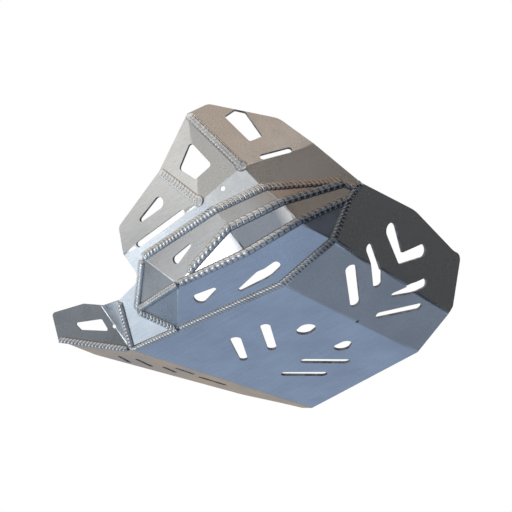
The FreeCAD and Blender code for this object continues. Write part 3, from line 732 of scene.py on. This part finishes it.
@dataclass
class WeldSeam:
    """A rippled bead along a run of corners.

    above and below name, for each stretch of the path, one more corner of the sheet on that side. gaps_mm is
    left free at the two ends, and a negative gap runs on past the corner. crater_mm is the length of the
    crater at the end. groove and scallop are how much the crown and the width shrink between ripples.
    crescent_mm is how far a ripple bulges forward, end_mm the length of a rounded end, toe how darkened the
    feet are, by oxidation and painted shade, and around the number of points in a cut.
    """

    node: str
    path: tuple[str, ...]
    above: tuple[str, ...]
    below: tuple[str, ...]
    bead: Bead
    gaps_mm: tuple[float, float]
    metal: WeldMetal = GREY_WELD
    crater_mm: float = 0.0
    half_width_mm: float = 4.2
    height_mm: float = 3.0
    groove: float = 0.3
    scallop: float = 0.12
    crescent_mm: float = 3.2
    end_mm: float = 3.0
    # Darkening at the feet: oxidation, and painted shade where the bead meets the sheet
    toe: float = 0.85
    around: int = 18
    made: bpy.types.Object | None = field(default=None, repr=False)

    # Where the cuts lie in one ripple, and a point inside the guard from which outward is told, in metres
    PROFILE = (0.0, 0.08, 0.22, 0.4, 0.58, 0.75, 0.9)
    ENGINE = Vector((-0.043, 0.0, 0.2))
    # By hand: how much a ripple differs in size and place from the mean, and what it does to crown and width
    HAND_SWELL, HAND_SLIP = 0.1, 0.12
    SWELL_CROWN, SWELL_WIDTH = 0.5, 0.1
    # The most that a crown may reach, and the mean height of a ripple's arch
    HIGHEST, MEAN_ARCH = 1.04, 0.6
    # The end crater: its rim's height, its extra width, its depth, and how steep its wall is
    CRATER_CROWN, CRATER_WIDTH, CRATER_DEPTH, CRATER_WALL = 1.15, 0.3, 0.5, 6
    # Width and height left at a closed end, and the least height of a cut
    END_WIDTH, END_CROWN, LEAST_CROWN = 0.25, 0.3, 0.6
    # The last cut of all
    LAST_CROWN, LAST_WIDTH, LAST_VALLEY = 0.7, 0.9, 0.3
    # How fast the darkening, oxidation and painted shade, fades out of a valley and away from a foot, and the
    # groove at which it is full
    VALLEY_CURVE, TOE_CURVE, FULL_GROOVE = 1.2, 1.3, 0.3
    # The underside: its least depth, and how far it goes below the fold
    ROOT_MM, UNDER_MM = 0.6, 0.3
    # Sheets that meet straighter than this have no fold to follow, and the sharpest slant of a foot's rail
    NO_FOLD, SHARPEST = 1e-3, 0.6

    def _side(self, start: Vector, travel: Vector, third: Vector) -> Vector:
        """Unit vector in a sheet, square to the seam and pointing into the sheet."""
        reach = third - start
        return (reach - travel * reach.dot(travel)).normalized()

    def _outward(self, travel: Vector, side: Vector, start: Vector) -> Vector:
        """The sheet's outward normal."""
        normal = travel.cross(side).normalized()
        return normal if normal.dot(start - self.ENGINE) > 0 else -normal

    def _rail(self, normals: tuple[Vector, Vector], sides: tuple[Vector, Vector]) -> Vector:
        """Finds the bead's foot on one sheet at a corner of the seam, along the sheet's fold there.

        Args:
            normals: The sheet's outward directions before and after the corner.
            sides: The directions into the sheet before and after the corner.

        Returns:
            The way from the corner to the foot, in metres.
        """
        mean = sides[0] + sides[1]
        fold = normals[0].cross(normals[1])
        if fold.length < self.NO_FOLD:
            fold = mean
        fold = fold.normalized()
        if fold.dot(mean) < 0:
            fold = -fold
        return fold * (self.half_width_mm * MM / max(fold.dot(sides[0]), self.SHARPEST))

    def _track(self) -> list[tuple[Vector, Vector, Vector, Vector]]:
        """Lays out the run along the corners of its path.

        Returns:
            Seam point, two feet and outward direction at each corner.
        """
        points = [corner(name) for name in self.path]
        travels = [(b - a).normalized() for a, b in zip(points, points[1:])]
        points[0] = points[0] + travels[0] * self.gaps_mm[0] * MM
        points[-1] = points[-1] - travels[-1] * self.gaps_mm[1] * MM
        sides = [
            [self._side(points[i], travel, corner(names[i])) for i, travel in enumerate(travels)]
            for names in (self.above, self.below)
        ]
        normals = [
            [self._outward(travel, sides[k][i], points[i]) for i, travel in enumerate(travels)]
            for k in (0, 1)
        ]
        track = []
        for i, point in enumerate(points):
            a, b = max(i - 1, 0), min(i, len(travels) - 1)
            feet = [
                point + self._rail((normals[k][a], normals[k][b]), (sides[k][a], sides[k][b])) for k in (0, 1)
            ]
            up = (normals[0][a] + normals[1][a]).normalized() + (normals[0][b] + normals[1][b]).normalized()
            track.append((point, feet[0], feet[1], up.normalized()))
        return track

    def _ring(
        self, row: list[Vector], travel: Vector, place: float, swell: float, done: float, total: float
    ) -> Ring:
        """One cut across the bead.

        Args:
            row: Seam point, two feet and outward direction.
            travel: Direction of the run.
            place: Where in its ripple the cut lies, from 0 to 1.
            swell: How much larger than the others the ripple is.
            done: Length of the bead up to the cut, in mm.
            total: Length of the whole bead, in mm.

        Returns:
            The cut.
        """
        arch = math.sqrt(max(0.0, 1.0 - (2 * place - 1) ** 2))
        crown = min(1.0 - self.groove * (1.0 - arch) + swell * arch * self.SWELL_CROWN, self.HIGHEST)
        inside = min(1.0, max(0.0, min(done, total - done)) / self.end_mm)
        left = (total - done) / self.crater_mm if self.crater_mm else 1.0
        dip = math.sin(math.pi * left) if left < 1.0 else 0.0
        width = 1.0 + self.scallop * (arch - self.MEAN_ARCH) + self.SWELL_WIDTH * swell
        # Oxidation and painted shade in the valley between ripples
        darkening = (1.0 - arch) ** self.VALLEY_CURVE * min(1.0, self.groove / self.FULL_GROOVE)
        return Ring(
            seam=row[0],
            left=row[1],
            right=row[2],
            up=row[3].normalized(),
            travel=travel,
            crown=(crown + (self.CRATER_CROWN - crown) * dip) * self.height_mm * MM,
            wide=width + self.CRATER_WIDTH * dip,
            fade=math.sqrt(1.0 - (1.0 - inside) ** 2),
            valley=darkening * (1.0 - dip),
            dip=dip,
        )

    def _rings(self) -> list[Ring]:
        """Makes the cuts, seven to a ripple, with crowns, widths and places that vary a little, as by hand.

        Returns:
            Every cut across the bead, in order.
        """
        luck = random.Random(self.node)
        track = self._track()
        total = sum((b[0] - a[0]).length for a, b in zip(track, track[1:])) / MM
        rings, run = [], 0.0
        for a, b in zip(track, track[1:]):
            length = (b[0] - a[0]).length / MM
            travel = (b[0] - a[0]).normalized()
            count = max(1, round(length / self.bead.value))
            for ripple in range(count):
                swell = luck.uniform(-self.HAND_SWELL, self.HAND_SWELL)
                slip = luck.uniform(-self.HAND_SLIP, self.HAND_SLIP)
                for place in self.PROFILE:
                    share = (ripple + place + slip * math.sin(math.pi * place)) / count
                    row = [p.lerp(q, share) for p, q in zip(a, b)]
                    rings.append(self._ring(row, travel, place, swell, run + share * length, total))
            run += length
        last = self.LAST_CROWN * self.height_mm * MM
        rings.append(Ring(*track[-1], travel, last, self.LAST_WIDTH, 0.0, self.LAST_VALLEY))
        return rings

    def _surface(self, ring: Ring, turn: float) -> Vector:
        """A point of the bead's surface.

        Args:
            ring: The cut that it lies on.
            turn: Angle round the cut. 0 is the foot above, a quarter turn the crown, a half the foot below.

        Returns:
            The point in metres.
        """
        middle = (ring.left + ring.right) * 0.5
        closed = self.END_WIDTH + (1.0 - self.END_WIDTH) * ring.fade
        half = (ring.left - ring.right) * 0.5 * ring.wide * closed
        sink = (ring.seam - middle).dot(ring.up)
        crown = ring.crown * (self.END_CROWN + (1.0 - self.END_CROWN) * ring.fade)
        if turn <= math.pi:
            top = max(sink, 0.0) + max(crown + min(sink, 0.0), self.LEAST_CROWN * crown)
            top *= 1.0 - self.CRATER_DEPTH * ring.dip * math.sin(turn) ** self.CRATER_WALL
            lean = self.crescent_mm * MM * ring.fade * math.sin(turn)
            return middle + half * math.cos(turn) + ring.up * (top * math.sin(turn)) + ring.travel * lean
        root = max(self.ROOT_MM * MM, -sink + self.UNDER_MM * MM)
        return middle + half * math.cos(turn) + ring.up * (root * math.sin(turn))

    def build(self) -> bpy.types.Object:
        """Wraps a grid round the run of cuts, kept inside the CAD box, and notes how darkened each point is,
        by oxidation and painted shade.

        Returns:
            The new object, in place of the CAD node.
        """
        rings = self._rings()
        bm = bmesh.new()
        bmesh.ops.create_grid(bm, x_segments=len(rings) - 1, y_segments=self.around, size=1.0)
        darkening = bm.verts.layers.float.new(VALLEY)
        for vert in bm.verts:
            i = round((vert.co.x + 1.0) / 2 * (len(rings) - 1))
            j = round((vert.co.y + 1.0) / 2 * self.around) % self.around
            turn = 2 * math.pi * j / self.around
            place = self._surface(rings[i], turn)
            vert.co = [min(max(c, low), high) for c, low, high in zip(place, CAD_LOW, CAD_HIGH)]
            # Oxidation and painted shade at the feet, where the bead meets the sheet
            foot = self.toe * (1.0 - abs(math.sin(turn))) ** self.TOE_CURVE
            vert[darkening] = max(rings[i].valley, foot)
        bmesh.ops.remove_doubles(bm, verts=bm.verts, dist=MERGE)
        bmesh.ops.holes_fill(bm, edges=[edge for edge in bm.edges if edge.is_boundary], sides=0)
        bmesh.ops.recalc_face_normals(bm, faces=bm.faces)
        for face in bm.faces:
            face.smooth = True
        self.made = finished_piece(bm, self.node + "_rippled", self.node)
        return self.made

    def dress(self) -> None:
        """Gives the bead its metal."""
        self.made.data.materials.append(self.metal.material())


@dataclass
class SkidPlate:
    """The whole guard: eight bent sheets and the beads that join them."""

    sheets: tuple[FoldedSheet, ...] = (
        FoldedSheet("belly_plate", BELLY_FINISH, "belly_sheet", bend_radius_mm=6.0),
        FoldedSheet("right_front_plate", CHEEK_FINISH, "cheek_sheet"),
        FoldedSheet("front_plate", FRONT_FINISH, "front_sheet"),
        FoldedSheet("centre_plate", FRONT_FINISH, "front_sheet"),
        FoldedSheet("left_plate", WING_FINISH, "wing_sheet"),
        FoldedSheet("guard_upper", GUARD_FINISH, "guard_sheet", bend_radius_mm=2.0),
        FoldedSheet("guard_middle", STEP_FINISH, "guard_sheet", bend_radius_mm=2.0),
        FoldedSheet("guard_lower", BELLY_FINISH, "guard_sheet", bend_radius_mm=2.0),
    )
    seams: tuple[WeldSeam, ...] = (
        WeldSeam(
            "weld_left_centre",
            ("centre_top", "nose_left"),
            ("wing_base",),
            ("nose_centre",),
            Bead.FINE,
            (1.0, -3.5),
            crater_mm=9.0,
            half_width_mm=4.6,
            groove=0.06,
            scallop=0.05,
        ),
        WeldSeam(
            "weld_centre_right",
            ("brow_top", "nose_centre"),
            ("centre_top",),
            ("nose_right",),
            Bead.FINE,
            (1.0, -3.5),
            crater_mm=9.0,
            half_width_mm=4.4,
            groove=0.12,
            scallop=0.08,
        ),
        WeldSeam(
            "weld_guard_top",
            ("top_right", "top_centre", "top_left", "top_end", "joint_low"),
            ("nose_centre", "nose_left", "wing_base", "wing_base"),
            ("corner", "upper_centre", "upper_left", "upper_end"),
            Bead.MEDIUM,
            (1.0, 3.0),
            metal=STRAW_WELD,
        ),
        WeldSeam(
            "weld_guard_side",
            ("top_right", "box_tip"),
            ("notch_top",),
            ("corner",),
            Bead.FINE,
            (3.0, 3.0),
            half_width_mm=3.8,
            groove=0.08,
            scallop=0.08,
        ),
        WeldSeam(
            "weld_guard_foot",
            ("box_tip", "front_step"),
            ("front_right",),
            ("corner",),
            Bead.FINE,
            (1.0, 4.0),
        ),
        WeldSeam(
            "weld_guard_corner",
            ("box_tip", "corner"),
            ("top_right",),
            ("front_step",),
            Bead.FINE,
            (3.0, 1.0),
            groove=0.2,
        ),
        WeldSeam(
            "weld_guard_upper",
            ("corner", "upper_centre", "upper_left", "upper_end", "joint_low"),
            ("top_centre", "top_left", "top_end", "top_end"),
            ("lower_centre", "lower_left", "neck", "neck"),
            Bead.COARSE,
            (18.0, 3.0),
        ),
        WeldSeam(
            "weld_guard_lower",
            ("corner", "lower_centre", "lower_left", "neck"),
            ("upper_centre", "upper_left", "upper_end"),
            ("front_left", "chine_front", "chine_front"),
            Bead.COARSE,
            (1.0, 3.0),
        ),
        WeldSeam(
            "weld_belly_guard",
            ("front_step", "front_left", "chine_front", "neck", "joint_low"),
            ("lower_centre", "lower_left", "lower_left", "upper_end"),
            ("rear_left", "rear_chine", "left_tail", "left_tail"),
            Bead.FINE,
            (2.0, 1.0),
        ),
        WeldSeam(
            "weld_belly_front",
            ("front_right", "front_step"),
            ("notch_top",),
            ("rear_left",),
            Bead.FINE,
            (3.0, 1.0),
        ),
        WeldSeam(
            "weld_right_front",
            ("notch_top", "front_right"),
            ("front_step",),
            ("cheek_fold",),
            Bead.FINE,
            (1.0, 4.0),
        ),
        WeldSeam(
            "weld_right_chine",
            ("front_right", "tip_right"),
            ("cheek_top",),
            ("right_front",),
            Bead.FINE,
            (3.0, 2.0),
        ),
        WeldSeam(
            "weld_left_side",
            ("joint_low", "joint_top"),
            ("wing_base",),
            ("left_tail",),
            Bead.MEDIUM,
            (1.0, 0.5),
        ),
    )

    def build(self) -> None:
        """Builds and dresses every sheet and bead in order."""
        for piece in (*self.sheets, *self.seams):
            made = piece.build()
            piece.dress()
            log.info("%s: %d faces", made.name, len(made.data.polygons))


@dataclass(frozen=True)
class Card:
    """A plain coloured card or softbox round the object, out of the camera's sight, that the metal reflects.

    Its edges are given as angles in degrees from the object, azimuth from the front of the bike towards its
    left. Its distance, and its size where one is set, are in metres.
    """

    name: str
    azimuth: tuple[float, float]
    elevation: tuple[float, float]
    colour: str
    glow: float = 1.0
    distance: float = 2.0
    size: tuple[float, float] | None = None

    def _measures(self) -> tuple[float, float]:
        """Works out the card's size from its angles, unless one is set.

        Returns:
            Width and height in metres.
        """
        if self.size:
            return self.size
        level = math.cos(math.radians(sum(self.elevation) / 2))
        wide, high = (math.radians(angles[1] - angles[0]) / 2 for angles in (self.azimuth, self.elevation))
        return 2 * self.distance * level * math.tan(wide), 2 * self.distance * math.tan(high)

    def build(self, centre: Vector) -> None:
        """Hangs the card so that it faces the object.

        Args:
            centre: The point that the card faces, in metres.
        """
        azimuth = math.radians(sum(self.azimuth) / 2)
        elevation = math.radians(sum(self.elevation) / 2)
        across = Vector((-math.sin(azimuth), math.cos(azimuth), 0.0))
        ahead = Vector((math.cos(azimuth), math.sin(azimuth), 0.0))
        out = ahead * math.cos(elevation) + Vector((0.0, 0.0, math.sin(elevation)))
        facing = Matrix((across, out.cross(across), out)).transposed().to_4x4()
        place = Matrix.Translation(centre + out * self.distance)
        bm = bmesh.new()
        bmesh.ops.create_grid(bm, x_segments=1, y_segments=1, size=0.5)
        bmesh.ops.scale(bm, vec=(*self._measures(), 1.0), verts=bm.verts)
        bmesh.ops.transform(bm, matrix=place @ facing, verts=bm.verts)
        mesh = bpy.data.meshes.new(self.name)
        bm.to_mesh(mesh)
        bm.free()
        card = bpy.data.objects.new(self.name, mesh)
        card.visible_camera = False
        card.visible_shadow = False
        card.visible_diffuse = False
        material, tree = empty_material("card_" + self.name)
        glow = add_node(tree, "ShaderNodeEmission", {"Color": linear(self.colour), "Strength": self.glow})
        add_node(tree, "ShaderNodeOutputMaterial", {}, {"Surface": glow.outputs[0]})
        mesh.materials.append(material)
        bpy.context.scene.collection.objects.link(card)
        card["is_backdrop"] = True


@dataclass(frozen=True)
class Studio:
    """White surroundings, a pale floor, plain cards and the camera at the photograph's viewing angle.

    The cards stand where the facets of the guard reflect them, so that each facet has its tone.
    """

    camera_place_mm: tuple[float, float, float] = (598.3, 550.8, -408.3)
    camera_right: tuple[float, float, float] = (-0.7042, 0.7064, -0.0713)
    camera_up: tuple[float, float, float] = (0.3401, 0.4237, 0.8395)
    camera_back: tuple[float, float, float] = (0.6232, 0.567, -0.5386)
    lens_mm: float = 59.7
    sensor_mm: float = 36.0
    clip_m: tuple[float, float] = (0.01, 50.0)
    floor_size: float = 6.0
    floor_gap_mm: float = 0.5
    floor_colour: str = "#e9e9e8"
    cards: tuple[Card, ...] = (
        Card("ground", (0.0, 0.0), (-90.0, -90.0), "#92a3bd", distance=2.2, size=(30.0, 30.0)),
        Card("rear_shade", (150.0, 205.0), (-64.0, -24.0), "#7e8793", distance=1.9),
        Card("key_softbox", (-58.0, -36.0), (-62.0, -30.0), "#d9e8fa", 1.25, distance=1.2),
        Card("key_core", (-36.0, -16.0), (-42.0, -24.0), "#ffffff", 3.0, distance=1.2),
        Card("right_blue", (-92.0, -64.0), (-26.0, 0.0), "#cde0f2", 2.3, distance=1.6),
        Card("right_low", (-100.0, -66.0), (-48.0, -27.0), "#74808e", distance=1.6),
        Card("right_grey", (-66.0, -44.0), (-24.0, -4.0), "#868b92", distance=1.5),
        Card("front_shade", (-10.0, 50.0), (-64.0, -28.0), "#6c6f71", distance=1.5),
        Card("front_light", (2.0, 48.0), (-27.0, -14.0), "#eaf0f7", 1.1, distance=1.1),
        Card("brow_low", (-44.0, -24.0), (-22.0, 4.0), "#a9adb3", distance=1.7),
        Card("brow_grey", (-24.0, -5.0), (-22.0, 18.0), "#dedede", 1.1, distance=1.7),
        Card("front_grey", (-5.0, 48.0), (-13.0, 16.0), "#bcbab8", distance=1.7),
        Card("left_shade", (80.0, 152.0), (-44.0, 0.0), "#232527", distance=1.5),
        Card("left_far", (112.0, 176.0), (-18.0, 18.0), "#52514e", distance=1.4),
        Card("left_grey", (55.0, 110.0), (0.0, 22.0), "#6d6864", distance=1.6),
        Card("left_tan", (38.0, 66.0), (22.0, 52.0), "#c4b8ae", distance=1.6),
        Card("left_brown", (66.0, 100.0), (22.0, 62.0), "#6f655c", distance=1.6),
        Card("rear_grey", (-152.0, -106.0), (-10.0, 18.0), "#b3a492", distance=1.8),
    )

    def _world(self) -> None:
        """Even white light from all round."""
        world = bpy.data.worlds.new("white_surroundings")
        world.use_nodes = True
        bpy.context.scene.world = world
        world.node_tree.nodes.clear()
        white = {"Color": linear("#ffffff"), "Strength": 1.0}
        even = add_node(world.node_tree, "ShaderNodeBackground", white)
        add_node(world.node_tree, "ShaderNodeOutputWorld", {}, {"Surface": even.outputs[0]})

    def _floor(self) -> None:
        """Pale floor under the guard, seen only from above, so the camera can look up through it."""
        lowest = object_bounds()[0].z
        bm = bmesh.new()
        bmesh.ops.create_grid(bm, x_segments=1, y_segments=1, size=self.floor_size / 2)
        bmesh.ops.translate(bm, vec=(0.0, 0.0, lowest - self.floor_gap_mm * MM), verts=bm.verts)
        mesh = bpy.data.meshes.new("floor")
        bm.to_mesh(mesh)
        bm.free()
        floor = bpy.data.objects.new("floor", mesh)
        floor.visible_glossy = False
        floor.visible_diffuse = False
        floor.visible_shadow = False
        material, tree = empty_material("matt_pale_floor")
        side = add_node(tree, "ShaderNodeNewGeometry")
        matt = add_node(tree, "ShaderNodeBsdfDiffuse", {"Color": linear(self.floor_colour)})
        clear = add_node(tree, "ShaderNodeBsdfTransparent")
        sides = {0: side.outputs["Backfacing"], 1: matt.outputs[0], 2: clear.outputs[0]}
        seen = add_node(tree, "ShaderNodeMixShader", {}, sides)
        add_node(tree, "ShaderNodeOutputMaterial", {}, {"Surface": seen.outputs[0]})
        mesh.materials.append(material)
        bpy.context.scene.collection.objects.link(floor)
        floor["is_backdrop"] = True

    def _camera(self) -> None:
        """The camera at the photograph's viewing angle."""
        data = bpy.data.cameras.new("camera")
        data.sensor_width = self.sensor_mm
        data.sensor_fit = "HORIZONTAL"
        data.lens = self.lens_mm
        data.clip_start, data.clip_end = self.clip_m
        camera = bpy.data.objects.new("camera", data)
        axes = Matrix((self.camera_right, self.camera_up, self.camera_back)).transposed()
        camera.matrix_world = Matrix.Translation(Vector(self.camera_place_mm) * MM) @ axes.to_4x4()
        bpy.context.scene.collection.objects.link(camera)
        bpy.context.scene.camera = camera

    def build(self) -> None:
        """Sets up light, floor and camera."""
        low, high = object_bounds()
        centre = (low + high) / 2
        self._world()
        self._floor()
        for card in self.cards:
            card.build(centre)
        self._camera()
        bpy.context.scene.view_settings.view_transform = "Standard"
        log.info("studio: %d cards", len(self.cards))


def main() -> None:
    """Builds the guard, then the studio round it."""
    logging.basicConfig(level=logging.INFO, format="%(name)s %(message)s")
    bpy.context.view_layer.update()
    SkidPlate().build()
    Studio().build()


if __name__ == "__main__":
    main()
